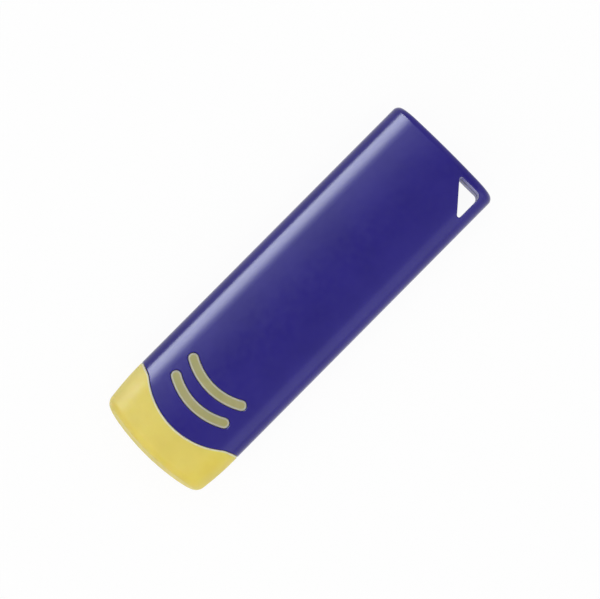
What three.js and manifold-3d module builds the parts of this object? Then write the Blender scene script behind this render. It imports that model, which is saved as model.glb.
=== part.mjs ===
// A pocket block eraser: one translucent elastomer insert held between two moulded half shells.
// Millimetres. +X runs from the rubbing tip to the butt, +Z is up through the thickness.
// The origin is the middle of the footprint, on the surface that the eraser lies on.

import * as THREE from "three";
import { mergeVertices } from "three/addons/utils/BufferGeometryUtils.js";
import Module from "manifold-3d";

// Outside of the whole block
const length = 66.8;
const width = 21;
const thickness = 8.4;
const sideRounding = 3.9;
const tipEndRadius = 38.5;
const tipEdgeRounding = 1.1;
const tipBowStart = 8.8;
const tipBowRadius = 68;
const buttEndRadius = 300;
const buttEdgeRounding = 1.05;

// Seam between tip and shells, as it runs in plan. Distances along the length count from the tip end.
const seamFromTip = 5.45;
const seamRadius = 12.5;
const seamArcAngle = 40;
const seamBlendRadius = 2.2;
const seamSideAngle = 25.5;

// Curved slots in the shells, and the arcs of the insert that fill them
const gripArcFromTip = 10.14;
const gripArcPitch = 3.84;
const gripArcCount = 2;
const gripArcRadius = 10.4;
const gripArcWidth = 1.7;
const gripArcReach = 6.1;

// Triangular strap hole in one butt corner
const strapHoleAlong = 5.5;
const strapHoleAcross = 4.8;
const strapHoleEndMargin = 1.5;
const strapHoleSideMargin = 1.7;
const strapHoleSquareCorner = 0.9;
const strapHoleSharpCorner = 0.35;
const strapHoleWall = 1.2;

// Shells
const shellWall = 1.6;
const fitGap = 0.2;
const slotClearance = 0.15;
const partingGrooveWidth = 0.2;
const partingGrooveDepth = 0.12;
const lipThickness = 0.7;
const lipHeight = 0.8;
const lipClearance = 0.15;
const lipStandBack = 0.05;
const lipSetback = 2;
const ribThickness = 0.9;
const ribHeight = 1.3;
const ribPitch = 7.4;
const bossDiameter = 3.2;
const pinDiameter = 1.6;
const pinLength = 1.7;
const pinClearance = 0.15;
const socketDepth = 2.1;

// Inside layout, along the length from the tip end and across from the centre line
const tongueEnd = 23;
const stopWallThickness = 1.2;
const tongueBossFromTip = 19.6;
const tongueBossAcross = 4.4;
const ribsWithBosses = [2, 4];
const ribBossAcross = 5.6;

// Fineness of the curved faces
const panelSteps = 5;
const roundingSteps = 10;
const edgeSteps = 5;
const bowSteps = 4;
const seamSteps = 24;
const arcSteps = 20;
const capSteps = 8;
const cornerSteps = 6;
const pinSides = 24;

const overshoot = 1;
const mergeDistance = 1e-5;
const smallestRounding = 0.25;
const midHeight = thickness / 2;

const wasm = await Module();
wasm.setup();

const radians = THREE.MathUtils.degToRad;
const alongFromTip = (distance) => distance - length / 2;

// Solids

function solidFrom(geometry) {
  const bare = new THREE.BufferGeometry();
  bare.setAttribute("position", geometry.getAttribute("position"));
  bare.setIndex(geometry.getIndex());
  const merged = mergeVertices(bare, mergeDistance);
  const mesh = new wasm.Mesh({
    numProp: 3,
    vertProperties: merged.getAttribute("position").array,
    triVerts: new Uint32Array(merged.getIndex().array),
  });
  return new wasm.Manifold(mesh);
}

function geometryFrom(solid) {
  const mesh = solid.getMesh();
  const geometry = new THREE.BufferGeometry();
  geometry.setAttribute("position", new THREE.BufferAttribute(mesh.vertProperties, 3));
  geometry.setIndex(new THREE.BufferAttribute(mesh.triVerts, 1));
  const faceted = geometry.toNonIndexed();
  faceted.computeVertexNormals();
  return faceted;
}

function prism(outline, low, high) {
  const shape = new THREE.Shape(outline);
  const geometry = new THREE.ExtrudeGeometry(shape, { depth: high - low, bevelEnabled: false });
  geometry.translate(0, 0, low);
  return solidFrom(geometry);
}

function boxBetween(low, high) {
  const size = high.map((value, axis) => value - low[axis]);
  const geometry = new THREE.BoxGeometry(...size);
  geometry.translate(...low.map((value, axis) => value + size[axis] / 2));
  return solidFrom(geometry);
}

function post(x, y, diameter, low, high) {
  const geometry = new THREE.CylinderGeometry(diameter / 2, diameter / 2, high - low, pinSides);
  geometry.rotateX(Math.PI / 2);
  geometry.translate(x, y, (low + high) / 2);
  return solidFrom(geometry);
}

const joined = (solids) => solids.reduce((sum, solid) => sum.add(solid));

// The block: stadium sections lofted along X

// A quarter of the cross-section as [y, z], from the middle of the top panel to the mid-plane.
function quarterSection(halfWidth, halfHeight, rounding) {
  const panel = halfWidth - rounding;
  const quarter = [];
  for (let i = 0; i < panelSteps; i++) quarter.push([(panel * i) / panelSteps, halfHeight]);
  for (let i = 0; i <= roundingSteps; i++) {
    const turn = ((Math.PI / 2) * i) / roundingSteps;
    quarter.push([
      panel + rounding * Math.sin(turn),
      halfHeight - rounding * (1 - Math.cos(turn)),
    ]);
  }
  quarter.push([halfWidth, 0]);
  return quarter;
}

// The whole section, once round from the top: the quarter, mirrored down, across and up again.
function sectionRing(quarter) {
  const inner = quarter.slice(1, -1);
  const back = [...inner].reverse();
  return [
    ...quarter,
    ...back.map(([y, z]) => [y, -z]),
    [0, -quarter[0][1]],
    ...inner.map(([y, z]) => [-y, -z]),
    [-quarter.at(-1)[0], 0],
    ...back.map(([y, z]) => [-y, z]),
  ];
}

// Stations from tip to butt for a block whose whole skin is moved in by inset.
// Each has its distance from the tip, how far the edge rounding draws the section in, and how much
// of each end's plan curve it follows.
function blockStations(inset) {
  const tipEdge = Math.max(tipEdgeRounding - inset, smallestRounding);
  const buttEdge = Math.max(buttEdgeRounding - inset, smallestRounding);
  const stations = [];
  for (let i = 0; i <= edgeSteps; i++) {
    const turn = (Math.PI / 2) * (1 - i / edgeSteps);
    stations.push({
      distance: inset + tipEdge * (1 - Math.sin(turn)),
      drawIn: tipEdge * (1 - Math.cos(turn)),
      tipCurve: 1,
      buttCurve: 0,
    });
  }
  const bowFrom = inset + tipEdge;
  for (let i = 1; i <= bowSteps; i++) {
    const share = i / bowSteps;
    stations.push({
      distance: bowFrom + (tipBowStart - bowFrom) * share,
      drawIn: 0,
      tipCurve: 1 - share,
      buttCurve: 0,
    });
  }
  for (let i = 0; i <= edgeSteps; i++) {
    const turn = ((Math.PI / 2) * i) / edgeSteps;
    stations.push({
      distance: length - inset - buttEdge * (1 - Math.sin(turn)),
      drawIn: buttEdge * (1 - Math.cos(turn)),
      tipCurve: 0,
      buttCurve: 1,
    });
  }
  return stations;
}

const sagitta = (radius, across) => radius - Math.sqrt(radius * radius - across * across);

function stationRing(station, inset) {
  const bow = Math.max(tipBowStart - station.distance, 0) ** 2 / (2 * tipBowRadius);
  const drawn = inset + station.drawIn;
  const rounding = Math.max(sideRounding - drawn, smallestRounding);
  const quarter = quarterSection(width / 2 - bow - drawn, midHeight - drawn, rounding);
  return sectionRing(quarter).map(([y, z]) => {
    const curve =
      station.tipCurve * sagitta(tipEndRadius, y) - station.buttCurve * sagitta(buttEndRadius, y);
    return [alongFromTip(station.distance) + curve, y, midHeight + z];
  });
}

// Skins the rings and closes both ends with strips that join each top point to the one below it.
function loft(rings) {
  const count = rings[0].length;
  const quarter = count / 4;
  const at = (ring, point) => ring * count + (point % count);
  const faces = [];
  for (let ring = 0; ring < rings.length - 1; ring++) {
    for (let i = 0; i < count; i++) {
      faces.push([at(ring, i), at(ring + 1, i + 1), at(ring, i + 1)]);
      faces.push([at(ring, i), at(ring + 1, i), at(ring + 1, i + 1)]);
    }
  }
  const closeEnd = (ring, outward) => {
    const strip = [];
    for (let i = 0; i < quarter; i++) {
      const below = 2 * quarter;
      strip.push([i, below - i, below - i - 1], [i, below - i - 1, i + 1]);
      strip.push([count - i, below + i + 1, below + i], [count - i, count - i - 1, below + i + 1]);
    }
    for (const face of strip) {
      const [a, b, c] = face.map((point) => at(ring, point));
      if (a !== b && b !== c && c !== a) faces.push(outward ? [a, b, c] : [a, c, b]);
    }
  };
  closeEnd(0, false);
  closeEnd(rings.length - 1, true);
  const geometry = new THREE.BufferGeometry();
  geometry.setAttribute("position", new THREE.Float32BufferAttribute(rings.flat(2), 3));
  geometry.setIndex(faces.flat());
  return solidFrom(geometry);
}

function block(inset) {
  return loft(blockStations(inset).map((station) => stationRing(station, inset)));
}

// Plan outlines

const planPoint = (x, y) => new THREE.Vector2(x, y);

// Everything on the butt side of the seam, moved towards the butt by shift.
// The seam is an arc, a reverse blend and a straight run out through each long side.
function behindSeam(shift) {
  const centre = alongFromTip(seamFromTip + seamRadius);
  const arcTurn = radians(seamArcAngle);
  const sideTurn = radians(seamSideAngle);
  const half = [];
  for (let i = 0; i <= seamSteps; i++) {
    const turn = (arcTurn * i) / seamSteps;
    const reach = seamRadius - shift;
    half.push([centre - reach * Math.cos(turn), reach * Math.sin(turn)]);
  }
  const blendX = centre - (seamRadius + seamBlendRadius) * Math.cos(arcTurn);
  const blendY = (seamRadius + seamBlendRadius) * Math.sin(arcTurn);
  for (let i = 1; i <= cornerSteps; i++) {
    const turn = arcTurn + ((sideTurn - arcTurn) * i) / cornerSteps;
    const reach = seamBlendRadius + shift;
    half.push([blendX + reach * Math.cos(turn), blendY - reach * Math.sin(turn)]);
  }
  const [lastX, lastY] = half.at(-1);
  const beyond = width / 2 + overshoot;
  half.push([lastX + (beyond - lastY) * Math.tan(sideTurn), beyond]);
  const far = length / 2 + overshoot;
  return [
    ...half.map(([x, y]) => planPoint(x, y)).reverse(),
    ...half.slice(1).map(([x, y]) => planPoint(x, -y)),
    planPoint(far, -beyond),
    planPoint(far, beyond),
  ];
}

// A slot curved like the seam, with round ends, its edges moved outwards by grow.
function gripArcOutline(fromTip, grow) {
  const centre = alongFromTip(fromTip) + gripArcRadius;
  const half = gripArcWidth / 2;
  const reach = Math.asin((gripArcReach - half) / gripArcRadius);
  const points = [];
  const sweep = (x, y, radius, from, to, steps) => {
    for (let i = 0; i <= steps; i++) {
      const turn = from + ((to - from) * i) / steps;
      points.push(planPoint(x + radius * Math.cos(turn), y + radius * Math.sin(turn)));
    }
  };
  const capX = centre - gripArcRadius * Math.cos(reach);
  const capY = gripArcRadius * Math.sin(reach);
  const start = Math.PI - reach;
  const end = Math.PI + reach;
  sweep(centre, 0, gripArcRadius + half + grow, start, end, arcSteps);
  sweep(capX, -capY, half + grow, end, end + Math.PI, capSteps);
  sweep(centre, 0, gripArcRadius - half - grow, end, start, arcSteps);
  sweep(capX, capY, half + grow, start + Math.PI, start + 2 * Math.PI, capSteps);
  return points.filter((point, i) => point.distanceTo(points.at(i - 1)) > mergeDistance);
}

// A polygon with its own rounding at each corner, then moved outwards by grow.
function roundedOutline(corners, grow) {
  const count = corners.length;
  return corners.flatMap(({ point, rounding }, i) => {
    const into = point.clone().sub(corners[(i + count - 1) % count].point).normalize();
    const out = corners[(i + 1) % count].point.clone().sub(point).normalize();
    const halfTurn = Math.acos(into.dot(out)) / 2;
    const inward = out.clone().sub(into).normalize();
    const centre = point.clone().addScaledVector(inward, rounding / Math.cos(halfTurn));
    const first = Math.atan2(-into.x, into.y);
    return Array.from({ length: cornerSteps + 1 }, (_, step) => {
      const turn = first + (2 * halfTurn * step) / cornerSteps;
      const reach = rounding + grow;
      return planPoint(centre.x + reach * Math.cos(turn), centre.y + reach * Math.sin(turn));
    });
  });
}

function strapHoleOutline(grow) {
  const right = length / 2 - strapHoleEndMargin;
  const bottom = -width / 2 + strapHoleSideMargin;
  const corners = [
    { point: planPoint(right, bottom), rounding: strapHoleSquareCorner },
    { point: planPoint(right, bottom + strapHoleAcross), rounding: strapHoleSharpCorner },
    { point: planPoint(right - strapHoleAlong, bottom), rounding: strapHoleSharpCorner },
  ];
  return roundedOutline(corners, grow);
}

// Shared forms

const through = (outline) => prism(outline, -overshoot, thickness + overshoot);
const gripArcPlaces = Array.from({ length: gripArcCount }, (_, i) => gripArcFromTip + i * gripArcPitch);
const slab = (fromTip, toTip, low, high) =>
  boxBetween(
    [alongFromTip(fromTip), -width, low],
    [alongFromTip(toTip), width, high],
  );

const wholeBlock = block(0);
const hollow = block(shellWall);
const ribsFromTip = tongueEnd + fitGap;
const ribFromTip = (number) => ribsFromTip + number * ribPitch;
const bossPlaces = [
  [tongueBossFromTip, tongueBossAcross],
  ...ribsWithBosses.map((number) => [ribFromTip(number) + ribThickness / 2, ribBossAcross]),
].flatMap(([fromTip, across]) => [
  [alongFromTip(fromTip), across],
  [alongFromTip(fromTip), -across],
]);

// Eraser insert: the tip, a tongue that fills the front of the hollow, and the arcs on its faces

function makeEraserInsert() {
  const tip = wholeBlock.subtract(through(behindSeam(-fitGap / 2)));
  const rootFromTip = seamFromTip / 2;
  const tongue = block(shellWall + fitGap).intersect(slab(rootFromTip, tongueEnd, 0, thickness));
  const arcs = gripArcPlaces.map((fromTip) => prism(gripArcOutline(fromTip, 0), 0, thickness));
  const clearances = bossPlaces
    .filter(([x]) => x < alongFromTip(tongueEnd))
    .map(([x, y]) => post(x, y, bossDiameter + 2 * fitGap, 0, thickness));
  return joined([tip, tongue, ...arcs]).subtract(joined(clearances));
}

// Half shells

const lipInnerInset = shellWall - lipStandBack;
const lipOuterInset = lipInnerInset - lipThickness;
const seamAtSide = behindSeam(0)[0].x + length / 2;

// The band of wall that carries the lip: round both sides and the butt, clear of mouth and strap hole.
// It starts inside the wall above the mid-plane and hangs below it.
function lipBand(clearance) {
  const band = block(lipOuterInset - clearance).subtract(block(lipInnerInset + clearance));
  const strip = slab(
    seamAtSide + lipSetback - clearance,
    length,
    midHeight - lipHeight - clearance,
    midHeight + lipHeight / 2,
  );
  const strapGuard = through(strapHoleOutline(strapHoleWall + lipClearance - clearance));
  return band.intersect(strip).subtract(strapGuard);
}

// What stands on the floor of a shell behind the tongue: a stop wall, a spine and cross ribs.
function floorRibs() {
  const end = length - shellWall;
  const top = shellWall + ribHeight;
  const stop = slab(ribsFromTip, ribsFromTip + stopWallThickness, 0, midHeight);
  const spine = boxBetween(
    [alongFromTip(ribsFromTip), -ribThickness / 2, 0],
    [alongFromTip(end), ribThickness / 2, top],
  );
  const ribCount = Math.floor((end - ribsFromTip - ribPitch / 2) / ribPitch);
  const ribs = Array.from({ length: ribCount }, (_, i) =>
    slab(ribFromTip(i + 1), ribFromTip(i + 1) + ribThickness, 0, top),
  );
  return joined([stop, spine, ...ribs]);
}

// One half of the holder, below the mid-plane, before the pins or sockets go in.
function halfShell() {
  const lowerHalf = slab(-overshoot, length + overshoot, -overshoot, midHeight);
  const outside = wholeBlock.intersect(through(behindSeam(fitGap / 2))).intersect(lowerHalf);
  const bosses = bossPlaces.map(([x, y]) => post(x, y, bossDiameter, 0, midHeight));
  const strapTube = through(strapHoleOutline(strapHoleWall));
  const rooted = block(shellWall / 2).intersect(lowerHalf);
  const inside = joined([floorRibs(), strapTube, ...bosses]).intersect(rooted);
  const slots = gripArcPlaces.map((fromTip) => through(gripArcOutline(fromTip, slotClearance)));
  const cuts = joined([through(strapHoleOutline(0)), ...slots]);
  return outside.subtract(hollow).add(inside).subtract(cuts).subtract(partingGroove());
}

// The fine line where the halves meet, round the outside and inside the strap hole.
function partingGroove() {
  const line = slab(
    -overshoot,
    length + overshoot,
    midHeight - partingGrooveWidth / 2,
    midHeight + overshoot,
  );
  const core = block(partingGrooveDepth).subtract(through(strapHoleOutline(partingGrooveDepth)));
  return line.subtract(core);
}

function makeBackShell() {
  const socket = pinDiameter + 2 * pinClearance;
  const sockets = bossPlaces.map(([x, y]) =>
    post(x, y, socket, midHeight - socketDepth, midHeight + overshoot),
  );
  return halfShell().subtract(joined([lipBand(lipClearance), ...sockets]));
}

// The same half turned over: mirrored in the mid-plane, so the strap hole stays in its corner.
function makeFrontShell() {
  const half = halfShell().mirror([0, 0, 1]).translate([0, 0, thickness]);
  const pins = bossPlaces.map(([x, y]) =>
    post(x, y, pinDiameter, midHeight - pinLength, midHeight + pinLength),
  );
  return joined([half, lipBand(0), ...pins]);
}

// Materials and the finished group

const shellPlastic = new THREE.MeshStandardMaterial({ color: 0x35297a, roughness: 0.34, metalness: 0 });
const elastomer = new THREE.MeshStandardMaterial({ color: 0xe0cf66, roughness: 0.5, metalness: 0 });

function named(name, solid, material) {
  const mesh = new THREE.Mesh(geometryFrom(solid), material);
  mesh.name = name;
  return mesh;
}

const eraser = new THREE.Group();
eraser.add(
  named("eraser_insert", makeEraserInsert(), elastomer),
  named("back_shell", makeBackShell(), shellPlastic),
  named("front_shell", makeFrontShell(), shellPlastic.clone()),
);

export default eraser;
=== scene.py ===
"""A pocket block eraser: two satin blue half shells round a translucent yellow elastomer tip.

Lengths are in millimetres until the meshes are made. +X runs from the rubbing tip to the butt,
+Y across to the long side away from the strap hole, +Z out of the front face.
"""

import math

import bmesh
import bpy
import numpy as np
from mathutils import Matrix, Vector
from mathutils.geometry import delaunay_2d_cdt

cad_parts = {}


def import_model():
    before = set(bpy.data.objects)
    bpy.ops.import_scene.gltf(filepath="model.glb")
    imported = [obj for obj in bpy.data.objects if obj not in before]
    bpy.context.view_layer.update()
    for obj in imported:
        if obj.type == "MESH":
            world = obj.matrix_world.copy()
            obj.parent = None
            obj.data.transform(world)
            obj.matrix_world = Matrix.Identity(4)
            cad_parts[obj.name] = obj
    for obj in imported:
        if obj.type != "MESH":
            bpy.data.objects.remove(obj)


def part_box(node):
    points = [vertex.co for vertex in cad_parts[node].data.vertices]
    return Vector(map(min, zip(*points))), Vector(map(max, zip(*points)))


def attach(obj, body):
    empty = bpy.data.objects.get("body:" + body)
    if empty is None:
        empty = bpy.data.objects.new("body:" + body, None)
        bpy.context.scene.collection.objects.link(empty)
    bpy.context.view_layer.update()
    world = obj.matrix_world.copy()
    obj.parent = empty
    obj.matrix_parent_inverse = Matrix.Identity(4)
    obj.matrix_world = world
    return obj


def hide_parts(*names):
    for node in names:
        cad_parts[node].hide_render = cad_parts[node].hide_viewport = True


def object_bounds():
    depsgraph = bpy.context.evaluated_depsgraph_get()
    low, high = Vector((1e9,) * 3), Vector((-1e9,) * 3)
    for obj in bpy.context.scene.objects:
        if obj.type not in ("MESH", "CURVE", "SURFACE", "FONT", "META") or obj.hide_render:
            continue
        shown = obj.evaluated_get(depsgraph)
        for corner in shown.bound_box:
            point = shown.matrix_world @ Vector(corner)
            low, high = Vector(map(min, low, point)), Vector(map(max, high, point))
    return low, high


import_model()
cad_low, cad_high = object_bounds()

MM = 0.001

# Overall sizes, from the frame
LENGTH = (cad_high.x - cad_low.x) / MM
WIDTH = (cad_high.y - cad_low.y) / MM
THICKNESS = (cad_high.z - cad_low.z) / MM
HALF_LENGTH = LENGTH / 2
HALF_WIDTH = WIDTH / 2
MID = THICKNESS / 2

# Outside of the block. The broad faces are very slightly crowned across the width.
CROWN_RADIUS = 100
SIDE_FLAT = 0.3
TIP_END_RADIUS = 38.5
TIP_EDGE = 1.1
TIP_BOW_START = 8.8
TIP_BOW_RADIUS = 68
BUTT_END_RADIUS = 300
BUTT_EDGE = 1.05

# Seam between tip and shells, in plan
FIT_GAP = 0.2
SEAM_FROM_TIP = (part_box("front_shell")[0].x - cad_low.x) / MM - FIT_GAP / 2
SEAM_RADIUS = 12.5
SEAM_ARC = math.radians(40)
SEAM_BLEND_RADIUS = 2.2
SEAM_SIDE = math.radians(25.5)
SEAM_GAP = 0.06

# Curved slots, and the arcs of the insert that fill them
ARC_FROM_TIP = 10.14
ARC_PITCH = 3.84
ARC_COUNT = 2
ARC_RADIUS = 10.4
ARC_WIDTH = 1.7
ARC_REACH = 6.1
ARC_GAP = 0.07
ARC_RECESS = 0.05
ARC_ZONE = 1

# Triangular strap hole in one butt corner
HOLE_ALONG = 5.5
HOLE_ACROSS = 4.8
HOLE_END_MARGIN = 1.5
HOLE_SIDE_MARGIN = 1.7
HOLE_SQUARE_CORNER = 0.9
HOLE_SHARP_CORNER = 0.35
HOLE_GUARD = 1.2

# Rolled edges and the fine line where the halves meet
SHELL_EDGE = 0.16
SLOT_EDGE = 0.14
HOLE_EDGE = 0.22
TIP_SEAM_EDGE = 0.22
ARC_EDGE = 0.2
PARTING_EDGE = 0.09
HOLE_PARTING_EDGE = 0.35
PARTING_GAP = 0.01

# Painted highlight on the elastomer, as a paler colour: a band along the seam and round the arcs, and
# the end and side rims of the tip
PALE_BAND = 0.2
RIM_REACH = 1.5
RIM_PAINTED_HIGHLIGHT = 0.16
SIDE_RIM_REACH = 3.6
SIDE_RIM_PAINTED_HIGHLIGHT = 0.26

# Pocket inside the shells, and the tongue of the insert that fills the front of it
POCKET_HALF_WIDTH = 8.9
POCKET_CEILING = 2.4
POCKET_END_WALL = 1.6
TONGUE_CLEARANCE = 0.1
TONGUE_END = (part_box("eraser_insert")[1].x - cad_low.x) / MM

# Fineness: counts of steps, and a few lengths
CROWN_STEPS = 14
ROUNDING_STEPS = 20
EDGE_STEPS = 10
ROLL_STEPS = 6
SIDE_STEPS = 2
BUTT_FACE_STEPS = 5
ARC_STEPS = 36
ARC_CAP_STEPS = 14
FOOT_STEPS = 3
HOLE_CORNER_STEPS = 10
HOLE_SIDE_STEPS = 16
HOLE_WALL_STEPS = 6
MOUTH_STEPS = 40
TIP_STEPS = 12
TIP_FACE_STEPS = 6
SHEET_STEP = 1.1
SHEET_CLEARANCE = 0.3
NORMAL_STEP = 1e-3
SHADING_REACH = 0.65

# Rounds in which a repeated estimate settles
CROWN_ROUNDS = 60
PLAN_ROUNDS = 12
SEAM_ROUNDS = 30

# What is too small to keep apart
JOIN_DISTANCE = 2e-3
SHORTEST_EDGE = 1e-3
SLIVER_AREA = 1e-7
SAME_PLACE = 1e-6
TINY = 1e-12


def sagitta(radius, across):
    """How far a curve has fallen back at that distance across."""
    return radius - np.sqrt(radius**2 - across**2)


def fit_crown():
    """The side rounding and its first turn, where a crown of CROWN_RADIUS runs into it smoothly."""
    rise = MID - SIDE_FLAT
    rounding = rise
    for _ in range(CROWN_ROUNDS):
        turn = math.asin((HALF_WIDTH - rounding) / (CROWN_RADIUS - rounding))
        rounding = (rise - CROWN_RADIUS * (1 - math.cos(turn))) / math.cos(turn)
    return rounding, turn


SIDE_ROUNDING, CROWN_TURN = fit_crown()
CROWN_RUN = CROWN_RADIUS * CROWN_TURN
SKIN_EDGE = CROWN_RUN + SIDE_ROUNDING * (math.pi / 2 - CROWN_TURN)
SIDE_RUN = SIDE_FLAT - PARTING_EDGE - PARTING_GAP
FOLD_RUN = PARTING_EDGE * math.pi / 2
TIP_EDGE_START = -HALF_LENGTH + TIP_EDGE
BUTT_EDGE_START = HALF_LENGTH - BUTT_EDGE
SKIN_END = BUTT_EDGE_START + BUTT_EDGE * math.pi / 2
TIP_SKIN_END = TIP_EDGE_START - TIP_EDGE * math.pi / 2
BOW_START = -HALF_LENGTH + TIP_BOW_START


# The skin of the block
#
# A point of the upper skin has s along the block and u round the section, both as lengths on the
# skin. Past SKIN_EDGE, u goes down the flat side, round the parting edge and in along the parting
# face. The inset moves the point inwards, square to the skin.


def section(u, inset):
    """The y of skin points and their z above the mid-plane, from the middle to the edge of the skin."""
    reach = np.abs(u)
    crown_turn = np.minimum(reach, CROWN_RUN) / CROWN_RADIUS
    side_turn = CROWN_TURN + np.clip(reach - CROWN_RUN, 0, SKIN_EDGE - CROWN_RUN) / SIDE_ROUNDING
    on_crown = reach <= CROWN_RUN
    crown, side = CROWN_RADIUS - inset, SIDE_ROUNDING - inset
    y = np.where(
        on_crown,
        crown * np.sin(crown_turn),
        HALF_WIDTH - SIDE_ROUNDING + side * np.sin(side_turn),
    )
    z = np.where(
        on_crown,
        MID - CROWN_RADIUS + crown * np.cos(crown_turn),
        SIDE_FLAT + side * np.cos(side_turn),
    )
    return np.sign(u) * y, z


def skin(s, u, inset=0.0):
    """Points of the skin in space."""
    s, u, inset = np.broadcast_arrays(*(np.asarray(a, float) for a in (s, u, inset)))
    past = np.maximum(np.abs(u) - SKIN_EDGE, 0)
    fold = np.clip((past - SIDE_RUN) / PARTING_EDGE, 0, math.pi / 2)
    inward = np.maximum(past - SIDE_RUN - FOLD_RUN, 0)
    side_z = SIDE_FLAT - np.minimum(past, SIDE_RUN) - PARTING_EDGE * np.sin(fold) + inset * np.sin(fold)
    across = inset * np.cos(fold) + PARTING_EDGE * (1 - np.cos(fold)) + inward

    butt_turn = np.clip((s - BUTT_EDGE_START) / BUTT_EDGE, 0, math.pi / 2)
    tip_turn = np.clip((TIP_EDGE_START - s) / TIP_EDGE, 0, math.pi / 2)
    drawn = (
        across
        + (BUTT_EDGE - across) * (1 - np.cos(butt_turn))
        + (TIP_EDGE - across) * (1 - np.cos(tip_turn))
    )
    straight = np.clip(s, TIP_EDGE_START, BUTT_EDGE_START)
    straight = straight + (BUTT_EDGE - across) * np.sin(butt_turn)
    straight = straight - (TIP_EDGE - across) * np.sin(tip_turn)
    y, z = section(u, drawn)
    z = np.where(past > 0, side_z, z)
    y = y * side_bow(straight)
    x = straight + end_curves(straight, y)
    return np.stack([x, y, MID + z], -1)


def side_bow(x):
    """The share of the full width that the block has at x."""
    return 1 - np.maximum(BOW_START - x, 0) ** 2 / (2 * TIP_BOW_RADIUS) / HALF_WIDTH


def end_curves(x, y):
    """How far the plan curves of the two ends move a point along X."""
    tip_share = np.clip((BOW_START - x) / (BOW_START - TIP_EDGE_START), 0, 1)
    butt_share = np.clip((x - BOW_START) / (BUTT_EDGE_START - BOW_START), 0, 1)
    return tip_share * sagitta(TIP_END_RADIUS, y) - butt_share * sagitta(BUTT_END_RADIUS, y)


def skin_normals(s, u):
    """Square to the skin, with the turn between crown and side rounding eased over SHADING_REACH."""
    along = skin(s + NORMAL_STEP, u) - skin(s - NORMAL_STEP, u)
    reach = np.clip(SKIN_EDGE - np.abs(u), NORMAL_STEP, SHADING_REACH)
    across = skin(s, u + reach) - skin(s, u - reach)
    return unit(np.cross(along, across))


def unit(vectors):
    """The vectors at length 1."""
    return vectors / np.maximum(np.linalg.norm(vectors, axis=-1, keepdims=True), TINY)


def unrolled(plan):
    """The s and u of the skin points above plan points."""
    x, y = plan[:, 0], plan[:, 1]
    straight = x.copy()
    for _ in range(PLAN_ROUNDS):
        straight = x - end_curves(straight, y)
    turn = np.arcsin(np.clip((straight - BUTT_EDGE_START) / BUTT_EDGE, 0, 1))
    s = np.where(turn > 0, BUTT_EDGE_START + BUTT_EDGE * turn, straight)
    drawn = BUTT_EDGE * (1 - np.cos(turn))
    reach = np.abs(y) / side_bow(straight)
    crown = CROWN_RADIUS - drawn
    side = SIDE_ROUNDING - drawn
    side_turn = np.arcsin(np.clip((reach - HALF_WIDTH + SIDE_ROUNDING) / side, 0, 1))
    u = np.where(
        reach <= crown * math.sin(CROWN_TURN),
        CROWN_RADIUS * np.arcsin(np.minimum(reach / crown, 1)),
        CROWN_RUN + SIDE_ROUNDING * (side_turn - CROWN_TURN),
    )
    return np.stack([s, np.sign(y) * u], -1)


# Plan outlines


def seam_x(y, shift):
    """The seam's x at y, moved towards the butt by shift: an arc, a reverse blend, a straight run."""
    y = np.abs(y)
    centre = -HALF_LENGTH + SEAM_FROM_TIP + SEAM_RADIUS
    arc, blend = SEAM_RADIUS - shift, SEAM_BLEND_RADIUS + shift
    blend_x = centre - (SEAM_RADIUS + SEAM_BLEND_RADIUS) * math.cos(SEAM_ARC)
    blend_y = (SEAM_RADIUS + SEAM_BLEND_RADIUS) * math.sin(SEAM_ARC)
    last_x = blend_x + blend * math.cos(SEAM_SIDE)
    last_y = blend_y - blend * math.sin(SEAM_SIDE)
    on_arc = centre - np.sqrt(np.maximum(arc**2 - y**2, 0))
    on_blend = blend_x + np.sqrt(np.maximum(blend**2 - (blend_y - y) ** 2, 0))
    on_side = last_x + (y - last_y) * math.tan(SEAM_SIDE)
    return np.where(y <= arc * math.sin(SEAM_ARC), on_arc, np.where(y <= last_y, on_blend, on_side))


def swept(centre, radius, start, end, steps):
    """Points of an arc in plan."""
    turns = np.linspace(start, end, steps + 1)
    return np.stack([centre[0] + radius * np.cos(turns), centre[1] + radius * np.sin(turns)], -1)


def arc_outline(from_tip, grow):
    """A slot curved like the seam, with round ends, its edges moved outwards by grow."""
    centre = np.array([from_tip - HALF_LENGTH + ARC_RADIUS, 0])
    half = ARC_WIDTH / 2
    reach = math.asin((ARC_REACH - half) / ARC_RADIUS)
    start, end = math.pi - reach, math.pi + reach
    low = centre + ARC_RADIUS * np.array([math.cos(end), math.sin(end)])
    high = centre + ARC_RADIUS * np.array([math.cos(start), math.sin(start)])
    return np.vstack([
        swept(centre, ARC_RADIUS + half + grow, start, end, ARC_STEPS)[:-1],
        swept(low, half + grow, end, end + math.pi, ARC_CAP_STEPS)[:-1],
        swept(centre, ARC_RADIUS - half - grow, end, start, ARC_STEPS)[:-1],
        swept(high, half + grow, start + math.pi, start + 2 * math.pi, ARC_CAP_STEPS)[:-1],
    ])


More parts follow.
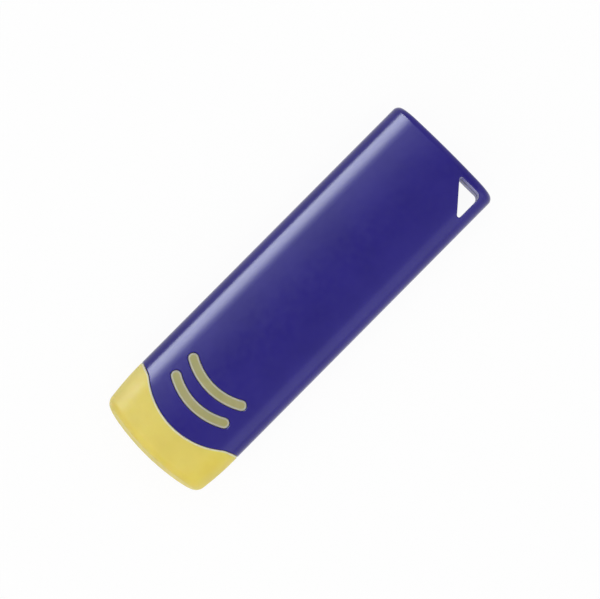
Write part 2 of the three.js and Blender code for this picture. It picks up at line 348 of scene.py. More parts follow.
def hole_outline(grow):
    """The strap hole with rounded corners, its edges moved outwards by grow."""
    right, low = HALF_LENGTH - HOLE_END_MARGIN, -HALF_WIDTH + HOLE_SIDE_MARGIN
    corners = [
        ((right, low), HOLE_SQUARE_CORNER),
        ((right, low + HOLE_ACROSS), HOLE_SHARP_CORNER),
        ((right - HOLE_ALONG, low), HOLE_SHARP_CORNER),
    ]
    corner_arcs = []
    for i, (point, rounding) in enumerate(corners):
        point = np.array(point)
        into = unit(point - corners[i - 1][0])
        out = unit(np.array(corners[(i + 1) % len(corners)][0]) - point)
        half_turn = math.acos(into @ out) / 2
        centre = point + unit(out - into) * rounding / math.cos(half_turn)
        first = math.atan2(-into[0], into[1])
        last = first + 2 * half_turn
        corner_arcs.append(swept(centre, rounding + grow, first, last, HOLE_CORNER_STEPS))
    loop = []
    for arc, following in zip(corner_arcs, corner_arcs[1:] + corner_arcs[:1]):
        side = np.linspace(arc[-1], following[0], HOLE_SIDE_STEPS + 1)[1:-1]
        loop += [arc, side]
    return np.vstack(loop)


def pocket_outline(half_width, end_x, guard):
    """The pocket in plan, from the seam at -Y round the butt to the seam at +Y, past the strap hole."""
    right, low = HALF_LENGTH - HOLE_END_MARGIN, -HALF_WIDTH + HOLE_SIDE_MARGIN
    slope = unit(np.array([HOLE_ALONG, HOLE_ACROSS]))
    lift = np.array([-slope[1], slope[0]]) * guard
    start = np.array([right - HOLE_ALONG, low]) + lift
    low_corner = start + slope * (-half_width - start[1]) / slope[1]
    high_corner = start + slope * (end_x - start[0]) / slope[0]
    return np.array([
        [seam_x(half_width, SEAM_GAP / 2), -half_width],
        low_corner,
        high_corner,
        [end_x, half_width],
        [seam_x(half_width, SEAM_GAP / 2), half_width],
    ])


# Meshes


def inside(points, outline):
    """Which points an outline encloses."""
    x, y = points[:, 0], points[:, 1]
    within = np.zeros(len(points), bool)
    for (x1, y1), (x2, y2) in zip(outline, np.roll(outline, -1, axis=0)):
        crosses = (y1 > y) != (y2 > y)
        if crosses.any():
            at = x1 + (y[crosses] - y1) * (x2 - x1) / (y2 - y1)
            within[crosses] ^= x[crosses] < at
    return within


def clear_of(points, outline, distance):
    """Which points are further than that distance from an outline."""
    far = np.ones(len(points), bool)
    for a, b in zip(outline, np.roll(outline, -1, axis=0)):
        run = b - a
        share = np.clip((points - a) @ run / max(run @ run, TINY), 0, 1)
        far &= np.linalg.norm(points - a - share[:, None] * run, axis=1) > distance
    return far


def between_loops(points, loops):
    """Which points lie inside the first loop and outside the others."""
    keep = inside(points, loops[0])
    for hole in loops[1:]:
        keep &= ~inside(points, hole)
    return keep


def loop_edges(loops):
    """The pairs of point numbers that close each loop, where the loops follow each other."""
    edges, first = [], 0
    for loop in loops:
        count = len(loop)
        edges += [(first + i, first + (i + 1) % count) for i in range(count)]
        first += count
    return edges


def triangulated(outline, holes=(), scattered=None):
    """Flat points and triangles that fill an outline round its holes, scattered points included."""
    loops = [np.asarray(outline), *holes]
    parts = list(loops)
    if scattered is not None:
        keep = between_loops(scattered, loops)
        for loop in loops:
            keep &= clear_of(scattered, loop, SHEET_CLEARANCE)
        parts.append(scattered[keep])
    points = np.vstack(parts)
    flat = [Vector(p) for p in points]
    _, _, triangles, sources, *_ = delaunay_2d_cdt(flat, loop_edges(loops), [], 0, SAME_PLACE, True)
    faces = np.array([[sources[i][0] for i in face] for face in triangles])
    return points, faces[between_loops(points[faces].mean(1), loops)]


def grid_normals(rows, closed):
    """Square to the surface through rows of points, which may each be a closed loop."""
    if closed:
        around = np.roll(rows, -1, axis=1) - np.roll(rows, 1, axis=1)
    else:
        around = np.gradient(rows, axis=1)
    return unit(np.cross(around, np.gradient(rows, axis=0)))


def grid_faces(height, width, closed):
    """The quads between rows of points."""
    faces = []
    for i in range(height - 1):
        row, following = i * width, (i + 1) * width
        for j in range(width if closed else width - 1):
            beside = (j + 1) % width
            faces.append((row + j, row + beside, following + beside, following + j))
    return faces


def cleaned(mesh):
    """Joins points that meet, takes out slivers and turns all faces outwards."""
    bmesh.ops.remove_doubles(mesh, verts=mesh.verts, dist=JOIN_DISTANCE * MM)
    slivers = [f for f in mesh.faces if f.calc_area() < SLIVER_AREA * MM**2]
    longest = dict.fromkeys(max(f.edges, key=lambda e: e.calc_length()) for f in slivers)
    bmesh.ops.dissolve_edges(mesh, edges=list(longest))
    bmesh.ops.dissolve_degenerate(mesh, edges=mesh.edges, dist=SHORTEST_EDGE * MM)
    bmesh.ops.recalc_face_normals(mesh, faces=mesh.faces)
    mesh.normal_update()


def object_from(mesh, name):
    """Turns an edit mesh into an object of the scene."""
    data = bpy.data.meshes.new(name)
    mesh.to_mesh(data)
    mesh.free()
    made = bpy.data.objects.new(name, data)
    bpy.context.scene.collection.objects.link(made)
    return made


class Body:
    """Points, normals and faces of one closed piece, joined where they meet when it is made."""

    def __init__(self, upside_down=False):
        self.points, self.normals, self.edges, self.faces, self.zones = [], [], [], [], []
        self.count = 0
        self.upside_down = upside_down

    def add(self, points, normals, faces, zone=0, edge=0.0):
        """zone is the number of the faces' material among those of the piece. edge says, from 0 to 1,
        how much painted light each point takes: painted highlights along the elastomer's edges, and
        painted light on the strap hole's wall."""
        if self.upside_down:
            points = points * [1, 1, -1] + [0, 0, THICKNESS]
            normals = normals * [1, 1, -1]
        self.points.append(points)
        self.normals.append(normals)
        self.edges.append(np.broadcast_to(edge, len(points)))
        self.faces += [[int(i) + self.count for i in face] for face in faces]
        self.zones += [zone] * len(faces)
        self.count += len(points)

    def add_grid(self, rows, closed=False, known=None, first=None, last=None, zone=0, edges=0.0):
        """Rows of points joined into quads. known has all their normals, or first and last those of the
        first and last row. edges has the share of painted light, as for add: one value for all, one for
        each row, or one for each point."""
        rows = np.asarray(rows)
        normals = grid_normals(rows, closed) if known is None else np.array(known)
        for index, given in ((0, first), (-1, last)):
            if given is not None:
                normals[index] = given
        height, width = rows.shape[:2]
        faces = grid_faces(height, width, closed)
        edge = np.broadcast_to(edges, (height, width)).ravel()
        self.add(rows.reshape(-1, 3), normals.reshape(-1, 3), faces, zone, edge)

    def fill(self, mesh):
        """Puts the points and faces into an edit mesh, and returns its layer of normals."""
        direction = mesh.verts.layers.float_vector.new("direction")
        edge = mesh.verts.layers.float.new("edge")
        places = zip(np.vstack(self.points) * MM, np.vstack(self.normals), np.concatenate(self.edges))
        for point, normal, painted_share in places:
            vertex = mesh.verts.new(point)
            vertex[direction] = normal
            vertex[edge] = painted_share
        mesh.verts.ensure_lookup_table()
        for face, zone in zip(self.faces, self.zones):
            made = mesh.faces.new([mesh.verts[i] for i in face])
            made.material_index = zone
            made.smooth = True
        return direction

    def made(self, name):
        """The piece as an object that keeps these normals, turned outwards with its faces."""
        mesh = bmesh.new()
        direction = self.fill(mesh)
        cleaned(mesh)
        normals = [v[direction] * math.copysign(1, v[direction].dot(v.normal)) for v in mesh.verts]
        open_edges = sum(not e.is_manifold for e in mesh.edges)
        print(f"{name}: {len(mesh.verts)} points, {len(mesh.faces)} faces, {open_edges} open edges")
        mesh.verts.layers.float_vector.remove(direction)
        piece = object_from(mesh, name)
        piece.data.normals_split_custom_set_from_vertices(normals)
        return piece


def rolled(start, corner, end):
    """Rows of a rounded edge from start to end, drawn towards the sharp corner."""
    rows = []
    for share in np.linspace(0, 1, ROLL_STEPS + 1):
        rows.append((1 - share) ** 2 * start + 2 * share * (1 - share) * corner + share**2 * end)
    return rows


def between(start, end, steps):
    """Rows in even steps from start, which is left out, to end."""
    return [start + (end - start) * share for share in np.linspace(0, 1, steps + 1)[1:]]


def lifted(height):
    """Maps plan points to space at a height."""
    return lambda flat: np.column_stack([flat, np.full(len(flat), height)])


def skin_u():
    """Places round the section, from one edge of the skin to the other."""
    side = np.linspace(CROWN_RUN, SKIN_EDGE, ROUNDING_STEPS + 1)
    crown = np.linspace(-CROWN_RUN, CROWN_RUN, 2 * CROWN_STEPS + 1)
    return np.concatenate([-side[::-1], crown[1:-1], side])


def seam_s(u, shift):
    """Where the seam, moved by shift, lies along the skin at each u."""
    s = np.full(len(u), -HALF_LENGTH + SEAM_FROM_TIP + shift)
    for _ in range(SEAM_ROUNDS):
        x, y = skin(s, u)[:, :2].T
        s = s + seam_x(y, shift) - x
    return s


def seam_rows(u, shift, roll, towards):
    """Rows of the rolled edge at the seam. towards is +1 for the shells and -1 for the tip."""
    edge = seam_s(u, shift)
    slope = np.gradient(edge, u)
    start_s = edge + towards * roll * np.sqrt(1 + slope**2)
    corner = skin(edge, u)
    low = skin(edge, u, roll)
    low[:, 0] = seam_x(low[:, 1], shift)
    return start_s, rolled(skin(start_s, u), corner, low)


# Half shells


def side_u():
    """Places below the skin: down the flat side, round the parting edge and in to the pocket."""
    return SKIN_EDGE + np.concatenate([
        np.linspace(0, SIDE_RUN, SIDE_STEPS + 1)[1:],
        SIDE_RUN + np.linspace(0, FOLD_RUN, ROLL_STEPS)[1:],
        [SIDE_RUN + FOLD_RUN + HALF_WIDTH - PARTING_EDGE - POCKET_HALF_WIDTH],
    ])


def seam_roll(whole_u):
    """The size of the shell's rolled edge at the seam, which runs out along the parting face."""
    fold_start = SKIN_EDGE + SIDE_RUN
    bends = [SKIN_EDGE, fold_start, fold_start + FOLD_RUN, whole_u[-1]]
    small = PARTING_EDGE / 2
    return np.interp(np.abs(whole_u), bends, [SHELL_EDGE, small, small, 0])


def half_shell(name, upside_down):
    """One half of the holder, built above the mid-plane."""
    body = Body(upside_down)
    u, side = skin_u(), side_u()
    whole_u = np.concatenate([-side[::-1], u, side])
    start_s, rows = seam_rows(whole_u, SEAM_GAP / 2, seam_roll(whole_u), 1)
    body.add_grid(rows, first=skin_normals(start_s, whole_u))

    margin = len(side)
    front = np.column_stack([start_s, whole_u])[margin:-margin]
    add_outer_skin(body, front, u)
    add_butt_face(body, u)
    rim = add_parting_edge(body, start_s, whole_u, margin)
    for place in arc_places():
        add_slot(body, place)
    add_strap_wall(body)
    add_pocket(body, rim, rows[-1])
    return body.made(name)


def side_stations(front_s):
    """Places along the skin from the seam to the butt, closer together round the butt's edge."""
    count = math.ceil((BUTT_EDGE_START - front_s) / SHEET_STEP)
    along = np.linspace(front_s, BUTT_EDGE_START, count + 1)
    turned = np.linspace(BUTT_EDGE_START, SKIN_END, EDGE_STEPS + 1)
    return np.concatenate([along, turned[1:]])


def add_outer_skin(body, front, u):
    """The skin from the rolled edge at the seam to the butt, round the slots and the strap hole."""
    stations = side_stations(front[0, 0])
    far_side = np.column_stack([stations[1:], np.full(len(stations) - 1, u[-1])])
    near_side = np.column_stack([stations[1:-1], np.full(len(stations) - 2, u[0])])[::-1]
    butt = np.column_stack([np.full(len(u) - 1, SKIN_END), u[:-1]])[::-1]
    outline = np.vstack([front, far_side, butt, near_side])
    holes = [unrolled(arc_outline(place, ARC_GAP + SLOT_EDGE)) for place in arc_places()]
    holes.append(unrolled(hole_outline(HOLE_EDGE)))
    lattice = np.array([[s, across] for s in stations for across in u])
    points, faces = triangulated(outline, holes, lattice)
    body.add(skin(*points.T), skin_normals(*points.T), faces)


def arc_places():
    """The distance of each arc from the tip."""
    return [ARC_FROM_TIP + i * ARC_PITCH for i in range(ARC_COUNT)]


def top_edge(outline, grow, roll):
    """Rows of the rolled top edge of an upright opening, and the skin's normals at the first."""
    wide = unrolled(outline(grow + roll))
    corner = skin(*unrolled(outline(grow)).T)
    return rolled(skin(*wide.T), corner, corner - [0, 0, roll]), skin_normals(*wide.T)


def add_slot(body, place):
    """The rolled edge and the wall of a slot, down to the pocket."""
    rows, first = top_edge(lambda grow: arc_outline(place, grow), ARC_GAP, SLOT_EDGE)
    foot = lifted(MID + POCKET_CEILING)(rows[-1][:, :2])
    body.add_grid(rows + between(rows[-1], foot, FOOT_STEPS), closed=True, first=first)


def add_strap_wall(body):
    """The wall of the strap hole, down to its own parting edge."""
    rows, first = top_edge(hole_outline, 0, HOLE_EDGE)
    lowest = MID + PARTING_GAP
    wall = lifted(lowest + HOLE_PARTING_EDGE)(rows[-1][:, :2])
    wall_rows = between(rows[-1], wall, HOLE_WALL_STEPS)
    # The wall rows take the paler blue, painted light for the light that reaches into the hole
    wall_painted_light = [[0.0]] * len(rows) + [[1.0]] * len(wall_rows) + [[0.0]] * (ROLL_STEPS - 1)
    rows += wall_rows
    for turn in np.linspace(0, math.pi / 2, ROLL_STEPS)[1:]:
        outline = hole_outline(HOLE_PARTING_EDGE * (1 - math.cos(turn)))
        rows.append(lifted(lowest + HOLE_PARTING_EDGE * (1 - math.sin(turn)))(outline))
    body.add_grid(rows, closed=True, first=first, edges=wall_painted_light)


def add_parting_edge(body, start_s, whole_u, margin):
    """The flat side and the rounded edge below it, along both sides and round the butt.
    Returns the rim, where the parting face begins."""
    low, high = slice(margin, 0, -1), slice(-1 - margin, -1)
    stations = side_stations(start_s[margin])
    columns = [skin(start_s[low], whole_u[low])]
    columns += [skin(s, whole_u[low]) for s in stations[1:]]
    corner = columns[-1]
    for across in skin(SKIN_END, skin_u())[1:-1, 1]:
        column = corner + [0, across - corner[0, 1], 0]
        column[:, 0] += sagitta(BUTT_END_RADIUS, corner[0, 1]) - sagitta(BUTT_END_RADIUS, across)
        columns.append(column)
    columns += [skin(s, whole_u[high]) for s in stations[:0:-1]]
    columns.append(skin(start_s[high], whole_u[high]))
    rows = np.array(columns).transpose(1, 0, 2)
    body.add_grid(rows)
    return rows[-1][:, :2]


def add_butt_face(body, u):
    """The upright face of the butt, from its rolled edge down to the flat side."""
    top = skin(SKIN_END, u)
    low = lifted(MID + SIDE_FLAT)(top[:, :2])
    normal = unit(np.column_stack([np.ones(len(u)), top[:, 1] / BUTT_END_RADIUS, np.zeros(len(u))]))
    body.add_grid([top] + between(top, low, BUTT_FACE_STEPS), first=normal, last=normal)


def add_pocket(body, rim, seam_foot):
    """The parting face, the pocket above it and the face at the seam."""
    lowest, ceiling = MID + PARTING_GAP, MID + POCKET_CEILING
    down = (0, 0, -1)
    pocket = pocket_outline(POCKET_HALF_WIDTH, HALF_LENGTH - POCKET_END_WALL, HOLE_GUARD)
    add_level(body, lowest, down, np.vstack([rim, pocket[::-1]]), [hole_outline(HOLE_PARTING_EDGE)])
    mouth = mouth_curve(POCKET_HALF_WIDTH, SEAM_GAP / 2)
    slots = [arc_outline(place, ARC_GAP) for place in arc_places()]
    add_level(body, ceiling, down, np.vstack([pocket, mouth[1:-1]]), slots)
    body.add_grid([lifted(lowest)(pocket), lifted(ceiling)(pocket)])
    add_seam_wall(body, seam_foot, raised(mouth, POCKET_CEILING), SEAM_GAP / 2)


def mouth_curve(half_width, shift):
    """The seam in plan between two sides of an opening, from +Y to -Y."""
    y = np.linspace(half_width, -half_width, MOUTH_STEPS + 1)
    return np.column_stack([seam_x(y, shift), y])


def raised(mouth, height):
    """The y and z of a mouth curve at a height above the mid-plane."""
    return np.column_stack([mouth[:, 1], np.full(len(mouth), MID + height)])


def add_level(body, height, direction, outline, holes=()):
    """A level face that looks up or down."""
    points, faces = triangulated(outline, holes)
    normals = np.tile(np.array(direction, float), (len(points), 1))
    body.add(lifted(height)(points), normals, faces)


def add_seam_wall(body, foot, inner, shift):
    """The face across the seam, from the rolled edge in to the y and z of its inner edge."""
    points, faces = triangulated(np.vstack([foot[:, 1:], inner]))
    across = np.column_stack([seam_x(points[:, 0], shift), points])
    body.add(across, np.tile([1.0, 0, 0], (len(points), 1)), faces)


# Eraser insert


def eraser_insert(name):
    """The tip, the tongue behind it and the arcs, as one piece."""
    body = Body()
    for upside_down in (False, True):
        body.upside_down = upside_down
        foot = add_tip_half(body)
        add_tongue_half(body, foot)
    return body.made(name)


def with_middle(points):
    """The points and, at both ends, the ones straight below or above them on the mid-plane."""
    ends = points[[0, -1]].copy()
    ends[:, 2] = MID
    return np.vstack([ends[:1], points, ends[1:]])


def tip_painted_highlights(stations, u):
    """How much painted highlight, as a paler colour, the skin of the tip takes: along its end and
    sides, and most at the seam.
    """
    from_end = [s.min() - TIP_SKIN_END for s in stations]
    at_end = np.interp(from_end, [0, RIM_REACH], [RIM_PAINTED_HIGHLIGHT, 0])
    at_side = np.interp(SKIN_EDGE - np.abs(u), [0, SIDE_RIM_REACH], [SIDE_RIM_PAINTED_HIGHLIGHT, 0])
    edges = np.maximum(at_end[:, None], with_ends(at_side))
    edges[-1] = 1
    return edges


def add_tip_half(body):
    """The tip above the mid-plane. Returns the foot of its rolled edge at the seam."""
    u = skin_u()
    start_s, rows = seam_rows(u, -SEAM_GAP / 2, TIP_SEAM_EDGE, -1)
    turned = np.linspace(TIP_SKIN_END, TIP_EDGE_START, EDGE_STEPS + 1)
    stations = [np.full(len(u), s) for s in turned]
    stations += between(stations[-1], start_s - PALE_BAND, TIP_STEPS) + [start_s]
    known = [with_ends(skin_normals(s, u)) for s in stations]
    skin_rows = [with_middle(skin(s, u)) for s in stations]
    body.add_grid(skin_rows, known=known, edges=tip_painted_highlights(stations, u))
    # The rolled edge at the seam takes the full painted highlight
    body.add_grid([with_middle(row) for row in rows], first=known[-1], edges=1.0)
    add_tip_face(body, u)
    return with_middle(rows[-1])


def add_tip_face(body, u):
    """The upright face of the tip's end."""
    top = with_middle(skin(TIP_SKIN_END, u))
    low = lifted(MID)(top[:, :2])
    slope = top[:, 1] / TIP_END_RADIUS
    outward = unit(np.column_stack([-np.ones(len(top)), slope, np.zeros(len(top))]))
    rows = [top] + between(top, low, TIP_FACE_STEPS)
    # The end face takes the rim's painted highlight
    body.add_grid(rows, first=outward, last=outward, edges=RIM_PAINTED_HIGHLIGHT)


def with_ends(rows):
    """The rows with the first and the last one doubled."""
    return np.concatenate([rows[:1], rows, rows[-1:]])


def add_tongue_half(body, foot):
    """The tongue above the mid-plane, with its arcs and the face round its root."""
    half_width, top = POCKET_HALF_WIDTH - TONGUE_CLEARANCE, POCKET_CEILING - TONGUE_CLEARANCE
    end_x = TONGUE_END - HALF_LENGTH
    mouth = mouth_curve(half_width, -SEAM_GAP / 2)
    inner = np.vstack([[half_width, MID], raised(mouth, top), [-half_width, MID]])
    add_seam_wall(body, foot, inner, -SEAM_GAP / 2)

    ends = np.array([[end_x, -half_width], [end_x, half_width]])
    footprint = np.vstack([mouth[-1], ends, mouth[0]])
    body.add_grid([lifted(MID)(footprint), lifted(MID + top)(footprint)])
    arcs = [arc_outline(place, 0) for place in arc_places()]
    add_level(body, MID + top, (0, 0, 1), np.vstack([mouth, ends]), arcs)
    for place in arc_places():
        add_arc(body, place, MID + top)


def add_arc(body, place, foot_height):
    """A raised arc that fills its slot, its top just below the skin of the shell."""
    rings = [unrolled(arc_outline(place, -inset)) for inset in (0, ARC_EDGE, ARC_EDGE + PALE_BAND)]
    rim, top, inner = [skin(*ring.T) - [0, 0, ARC_RECESS] for ring in rings]
    level = [skin_normals(*ring.T) for ring in rings]
    shoulder = rim - [0, 0, ARC_EDGE]
    foot = lifted(foot_height)(rim[:, :2])
    rows = rolled(top, rim, shoulder) + between(shoulder, foot, FOOT_STEPS)
    # The arc's rolled edge and the band round its top take the full painted highlight
    body.add_grid(rows, closed=True, first=level[1], zone=ARC_ZONE, edges=1.0)
    band = [level[2], level[1]]
    body.add_grid([inner, top], closed=True, known=band, zone=ARC_ZONE, edges=[[0.0], [1.0]])
    points, faces = triangulated(arc_outline(place, -ARC_EDGE - PALE_BAND))
    flat = unrolled(points)
    body.add(skin(*flat.T) - [0, 0, ARC_RECESS], skin_normals(*flat.T), faces, ARC_ZONE)


# Materials

BLUE_DEEP = (0.0175, 0.011, 0.186, 1)
BLUE_LIGHT = (0.0225, 0.015, 0.210, 1)
# Paler blue on the strap hole's wall: painted light, for light that reaches into the hole
BLUE_WALL_PAINTED_LIGHT = (0.08, 0.07, 0.62, 1)
YELLOW_DEEP = (0.70, 0.565, 0.068, 1)
YELLOW_LIGHT = (0.745, 0.62, 0.092, 1)
# Pale colour of the painted highlight along the tip's edges
YELLOW_PAINTED_HIGHLIGHT = (0.80, 0.70, 0.46, 1)
# The arcs are the same elastomer as the tip: their darker olive is painted shade, for light lost
# through the thin arcs into the dark shell round them
OLIVE_DEEP = (0.318, 0.307, 0.072, 1)
OLIVE_LIGHT = (0.38, 0.345, 0.138, 1)
# Pale colour of the painted highlight along the arcs' edges
OLIVE_PAINTED_HIGHLIGHT = (0.47, 0.44, 0.34, 1)

# Colour sockets of the mixing node, whose names are shared by sockets of other kinds
MIX_FIRST = 6
MIX_SECOND = 7
MIX_RESULT = 2


class Nodes:
    """The shader nodes of a material, a lamp or the world."""

    def __init__(self, tree):
        self.tree = tree

    def node(self, kind, **settings):
        """A new node with these properties."""
        made = self.tree.nodes.new(kind)
        for name, value in settings.items():
            setattr(made, name, value)
        return made

    def link(self, source, target):
        """Feeds a socket from its source, which may also be a plain value."""
        if isinstance(source, bpy.types.NodeSocket):
            self.tree.links.new(source, target)
        else:
            target.default_value = source

    def combined(self, operation, first, second):
        """Two values added, multiplied or the like."""
        made = self.node("ShaderNodeMath", operation=operation)
        self.link(first, made.inputs[0])
        self.link(second, made.inputs[1])
        return made.outputs[0]

    def ramp(self, factor, low, high, start=0, end=1, shape="LINEAR"):
        """Remaps factor from low..high to start..end, and holds it beyond."""
        made = self.node("ShaderNodeMapRange", clamp=True, interpolation_type=shape)
        for name, value in (("From Min", low), ("From Max", high), ("To Min", start), ("To Max", end)):
            made.inputs[name].default_value = value
        self.link(factor, made.inputs["Value"])
        return made.outputs["Result"]


class Finish(Nodes):
    """A material under construction: its shader and the nodes that feed it."""

    def __init__(self, name):
        self.material = bpy.data.materials.new(name)
        self.material.use_nodes = True
        super().__init__(self.material.node_tree)
        self.shader = self.tree.nodes["Principled BSDF"]
        self.place = self.node("ShaderNodeTexCoord").outputs["Object"]

    def noise(self, feature, detail):
        """Noise whose features measure that many millimetres."""
        made = self.node("ShaderNodeTexNoise")
        made.inputs["Scale"].default_value = 1 / (feature * MM)
        made.inputs["Detail"].default_value = detail
        self.link(self.place, made.inputs["Vector"])
        return made.outputs["Fac"]

    def blend(self, factor, first, second):
        """A colour between two others, nearer the second where factor is near 1."""
        made = self.node("ShaderNodeMix", data_type="RGBA")
        self.link(first, made.inputs[MIX_FIRST])
        self.link(second, made.inputs[MIX_SECOND])
        self.link(factor, made.inputs["Factor"])
        return made.outputs[MIX_RESULT]

    def edge(self):
        """The share of painted light on the surface, from 0 to 1: painted highlights along the
        elastomer's edges, painted light on the strap hole's wall.
        """
        return self.node("ShaderNodeAttribute", attribute_name="edge").outputs["Fac"]

    def bump(self, height, depth, under=None):
        """Relief of that many millimetres, on top of what is under it."""
        made = self.node("ShaderNodeBump")
        made.inputs["Strength"].default_value = 1
        made.inputs["Distance"].default_value = depth * MM
        self.link(height, made.inputs["Height"])
        if under is not None:
            self.link(under, made.inputs["Normal"])
        return made.outputs["Normal"]

    def set(self, **values):
        """Settings of the shader, their names written with underscores."""
        for name, value in values.items():
            self.shader.inputs[name.replace("_", " ")].default_value = value


def shell_plastic():
    """Satin plastic with slow mottling and fine grain, more matt on the strap hole's wall, where a
    paler blue is painted light.
    """
    finish = Finish("shell_plastic")
    mottle = finish.ramp(finish.noise(feature=9, detail=3), low=0.35, high=0.65)
    # Painted light: the paler blue on the strap hole's wall
    tint = finish.blend(finish.edge(), finish.blend(mottle, BLUE_DEEP, BLUE_LIGHT), BLUE_WALL_PAINTED_LIGHT)
    finish.link(tint, finish.shader.inputs["Base Color"])
    patches = finish.ramp(finish.noise(feature=0.9, detail=4), low=0.3, high=0.7, start=0.17, end=0.24)
    hole_wall_matt = finish.ramp(finish.edge(), low=0, high=1, start=0, end=0.15)
    finish.link(finish.combined("ADD", patches, hole_wall_matt), finish.shader.inputs["Roughness"])
    slow = finish.bump(finish.noise(feature=6, detail=1), depth=0.012)
    grain = finish.bump(finish.noise(feature=0.16, detail=3), depth=0.008, under=slow)
    finish.link(grain, finish.shader.inputs["Normal"])
    finish.set(IOR=1.46, Specular_IOR_Level=0.3)
    return finish.material


def elastomer(name, deep, light, painted_highlight):
    """Translucent elastomer, with a painted highlight as a paler colour along its edges."""
    finish = Finish(name)
    cloud = finish.ramp(finish.noise(feature=4, detail=3), low=0.3, high=0.7)
    # Painted highlight: the pale colour along the edges
    tint = finish.blend(finish.edge(), finish.blend(cloud, deep, light), painted_highlight)
    finish.link(tint, finish.shader.inputs["Base Color"])
    patches = finish.ramp(finish.noise(feature=1.5, detail=4), low=0.3, high=0.7, start=0.58, end=0.68)
    finish.link(patches, finish.shader.inputs["Roughness"])
    slow = finish.bump(finish.noise(feature=3, detail=2), depth=0.02)
    grain = finish.bump(finish.noise(feature=0.2, detail=3), depth=0.004, under=slow)
    finish.link(grain, finish.shader.inputs["Normal"])
    finish.set(IOR=1.46, Specular_IOR_Level=0.62, Subsurface_Weight=0.8, Subsurface_Scale=1.6 * MM)
    finish.set(Subsurface_Radius=(1.0, 0.75, 0.25))
    return finish.material


# Studio

FLOOR_WHITE = (0.9, 0.9, 0.9, 1)
FLOOR_GLOW = 0.94
FLOOR_MIDDLE = 0.1
FLOOR_REACH = 1.6
FLOOR_SIDES = 96
WALL_BEND = 0.3
WALL_BEND_STEPS = 12
WALL_HEIGHT = 0.53
CAMERA_TILT = math.radians(5.6)
CAMERA_ROLL = math.radians(45.21)
CAMERA_DISTANCE = 2.0
CAMERA_TARGET = Vector((0.66, -0.09, 4.2)) * MM
CAMERA_CLIP = (0.01, 10)
SENSOR_WIDTH = 36
PICTURE_WIDTH = 93.78 * MM
LAMP_DISTANCE = 0.8
WHITE = (1, 1, 1)
COOL = (0.9, 0.96, 1)

# Bearings, in degrees from +X towards +Y
LIT_SIDE = 84
FAR_SIDE = 264
TIP_SIDE = 180

# Smooth changes of strength: two places and the strength at each
CEILING_SPAN = (0.72, 0.97, 1, 0.1)
SIDE_SPAN = (-1, 1, 1.1, 0.45)
LONG_STRIP_SPAN = (0.36, 1.05, 1, 0.05)
LONG_STRIP_START = (0, 0.14, 0.45, 1)
FAR_STRIP_SPAN = (0.3, 1, 1, 0.6)


def studio_white():
    """White to the eye and in reflections, and plain matt white to the light on the object."""
    finish = Finish("studio_white")
    finish.set(Base_Color=FLOOR_WHITE, Roughness=1, IOR=1)
    rays = finish.node("ShaderNodeLightPath")
    seen = rays.outputs["Is Camera Ray"]
    for kind in ("Is Glossy Ray", "Is Transmission Ray"):
        seen = finish.combined("MAXIMUM", seen, rays.outputs[kind])
    mix = finish.node("ShaderNodeMixShader")
    finish.link(finish.combined("MULTIPLY", seen, FLOOR_GLOW), mix.inputs["Fac"])
    finish.link(finish.shader.outputs["BSDF"], mix.inputs[1])
    finish.link(finish.node("ShaderNodeEmission").outputs["Emission"], mix.inputs[2])
    finish.link(mix.outputs["Shader"], finish.tree.nodes["Material Output"].inputs["Surface"])
    return finish.material


def floor_profile():
    """Distances from the middle and heights along the floor, its bend and the wall."""
    bend = [
        (FLOOR_REACH + WALL_BEND * math.sin(turn), WALL_BEND * (1 - math.cos(turn)))
        for turn in np.linspace(0, math.pi / 2, WALL_BEND_STEPS + 1)
    ]
    return [(FLOOR_MIDDLE, 0), *bend, (FLOOR_REACH + WALL_BEND, WALL_HEIGHT)]


def backdrop():
    """A round floor that bends up into a wall."""
    mesh = bmesh.new()
    centre = mesh.verts.new((0, 0, 0))
    turns = np.linspace(0, 2 * math.pi, FLOOR_SIDES + 1)[:-1]
    rings = [
        [mesh.verts.new((r * math.cos(turn), r * math.sin(turn), z)) for turn in turns]
        for r, z in floor_profile()
    ]
    for i in range(FLOOR_SIDES):
        following = (i + 1) % FLOOR_SIDES
        mesh.faces.new((centre, rings[0][i], rings[0][following]))
        for low, high in zip(rings, rings[1:]):
            mesh.faces.new((low[i], high[i], high[following], low[following])).smooth = True
    floor = object_from(mesh, "studio_floor")
    floor.data.materials.append(studio_white())


def softbox(
    name, bearing, height, size, radiance, distance=LAMP_DISTANCE, tint=WHITE, diffuse=True, glossy=True
):
    """A rectangular lamp aimed at the object from that bearing and height, both in degrees."""
    bearing, height = math.radians(bearing), math.radians(height)
    level = math.cos(height)
    away = Vector((math.cos(bearing) * level, math.sin(bearing) * level, math.sin(height)))
    data = bpy.data.lights.new(name, "AREA")
    data.shape = "RECTANGLE"
    data.size, data.size_y = size
    data.energy = radiance * math.pi * data.size * data.size_y
    data.color = tint
    lamp = bpy.data.objects.new(name, data)
    lamp.location = CAMERA_TARGET + away * distance
    lamp.rotation_mode = "QUATERNION"
    lamp.rotation_quaternion = away.to_track_quat("Z", "Y")
    lamp.visible_camera = False
    lamp.visible_diffuse = diffuse
    lamp.visible_glossy = glossy
    bpy.context.scene.collection.objects.link(lamp)
    return data


def graded(lamp, *spans):
    """Dims a lamp along its height. Each span has two shares of the height and the strength at each,
    with a smooth change between them, and the spans multiply."""
    lamp.use_nodes = True
    nodes = Nodes(lamp.node_tree)
    place = nodes.node("ShaderNodeSeparateXYZ")
    nodes.link(nodes.node("ShaderNodeNewGeometry").outputs["Parametric"], place.inputs[0])
    strength = 1.0
    for span in spans:
        share = nodes.ramp(place.outputs["Y"], *span, shape="SMOOTHSTEP")
        strength = nodes.combined("MULTIPLY", strength, share)
    nodes.link(strength, nodes.tree.nodes["Emission"].inputs["Strength"])


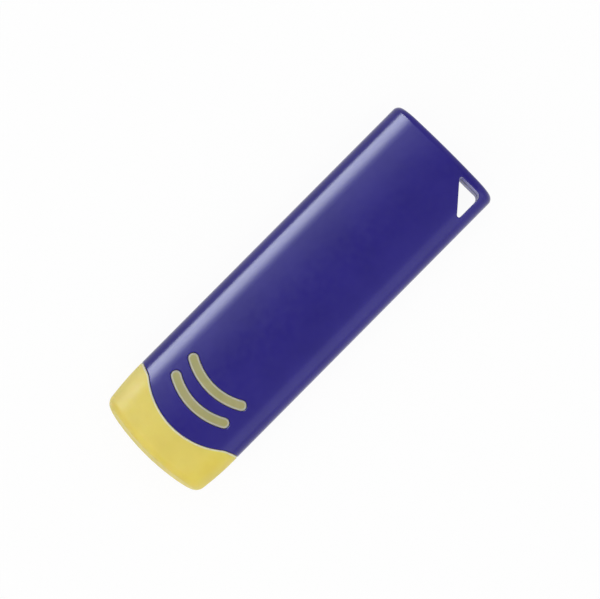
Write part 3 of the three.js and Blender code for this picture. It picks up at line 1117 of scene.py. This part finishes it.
def camera():
    """Looks down on the block, with +X towards the upper right of the picture."""
    data = bpy.data.cameras.new("camera")
    data.sensor_width = SENSOR_WIDTH
    data.lens = data.sensor_width * CAMERA_DISTANCE / PICTURE_WIDTH
    data.clip_start, data.clip_end = CAMERA_CLIP
    made = bpy.data.objects.new("camera", data)
    back = Vector((-math.sin(CAMERA_TILT), 0, math.cos(CAMERA_TILT)))
    along = Vector((math.cos(CAMERA_TILT), 0, math.sin(CAMERA_TILT)))
    across = Vector((0, 1, 0))
    right = along * math.cos(CAMERA_ROLL) - across * math.sin(CAMERA_ROLL)
    up = along * math.sin(CAMERA_ROLL) + across * math.cos(CAMERA_ROLL)
    turn = Matrix((right, up, back)).transposed()
    made.matrix_world = Matrix.Translation(CAMERA_TARGET + back * CAMERA_DISTANCE) @ turn.to_4x4()
    bpy.context.scene.collection.objects.link(made)
    bpy.context.scene.camera = made


def world():
    """A pale room whose ceiling is dim, and dimmer on the side of the key softbox."""
    made = bpy.data.worlds.new("studio_room")
    made.use_nodes = True
    nodes = Nodes(made.node_tree)
    background = nodes.tree.nodes["Background"]
    background.inputs["Color"].default_value = (*WHITE, 1)
    direction = nodes.node("ShaderNodeSeparateXYZ")
    nodes.link(nodes.node("ShaderNodeTexCoord").outputs["Generated"], direction.inputs[0])
    ceiling = nodes.ramp(direction.outputs["Z"], *CEILING_SPAN, shape="SMOOTHSTEP")
    side = nodes.ramp(direction.outputs["Y"], *SIDE_SPAN, shape="SMOOTHSTEP")
    nodes.link(nodes.combined("MULTIPLY", ceiling, side), background.inputs["Strength"])
    bpy.context.scene.world = made


# The eraser in its studio


def dress(piece, node, slot, *materials):
    """Gives a piece its materials, hangs it under the root body and hides the solid it stands in for.
    """
    for material in materials:
        piece.data.materials.append(material)
    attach(piece, "root")
    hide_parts(node)


plastic = shell_plastic()
tip_elastomer = elastomer("tip_elastomer", YELLOW_DEEP, YELLOW_LIGHT, YELLOW_PAINTED_HIGHLIGHT)
# The arcs' darker olive is painted shade
arc_elastomer_painted_shade = elastomer("arc_elastomer_painted_shade", OLIVE_DEEP, OLIVE_LIGHT, OLIVE_PAINTED_HIGHLIGHT)
dress(half_shell("front_shell_skin", upside_down=False), "front_shell", "shell_plastic", plastic)
dress(half_shell("back_shell_skin", upside_down=True), "back_shell", "shell_plastic", plastic)
dress(eraser_insert("eraser_body"), "eraser_insert", "elastomer", tip_elastomer, arc_elastomer_painted_shade)

backdrop()
camera()
softbox("key_softbox", LIT_SIDE, height=32, size=(0.42, 0.52), radiance=0.5)
softbox("top_softbox", LIT_SIDE, height=60, size=(0.42, 0.30), radiance=0.7)
softbox("tip_softbox", TIP_SIDE, height=32, size=(0.5, 0.4), radiance=1.0)
softbox(
    "fill_softbox", bearing=0, height=88, size=(1.0, 1.0), radiance=1.15, distance=1.0, glossy=False
)
long_strip = softbox(
    "long_strip", LIT_SIDE, height=47.5, size=(0.42, 1.23), radiance=17.5, tint=COOL, diffuse=False
)
graded(long_strip, LONG_STRIP_SPAN, LONG_STRIP_START)
far_strip = softbox(
    "far_strip", FAR_SIDE, height=45, size=(0.5, 1.34), radiance=1, tint=COOL, diffuse=False
)
graded(far_strip, FAR_STRIP_SPAN)
world()
bpy.context.scene.view_settings.view_transform = "Standard"
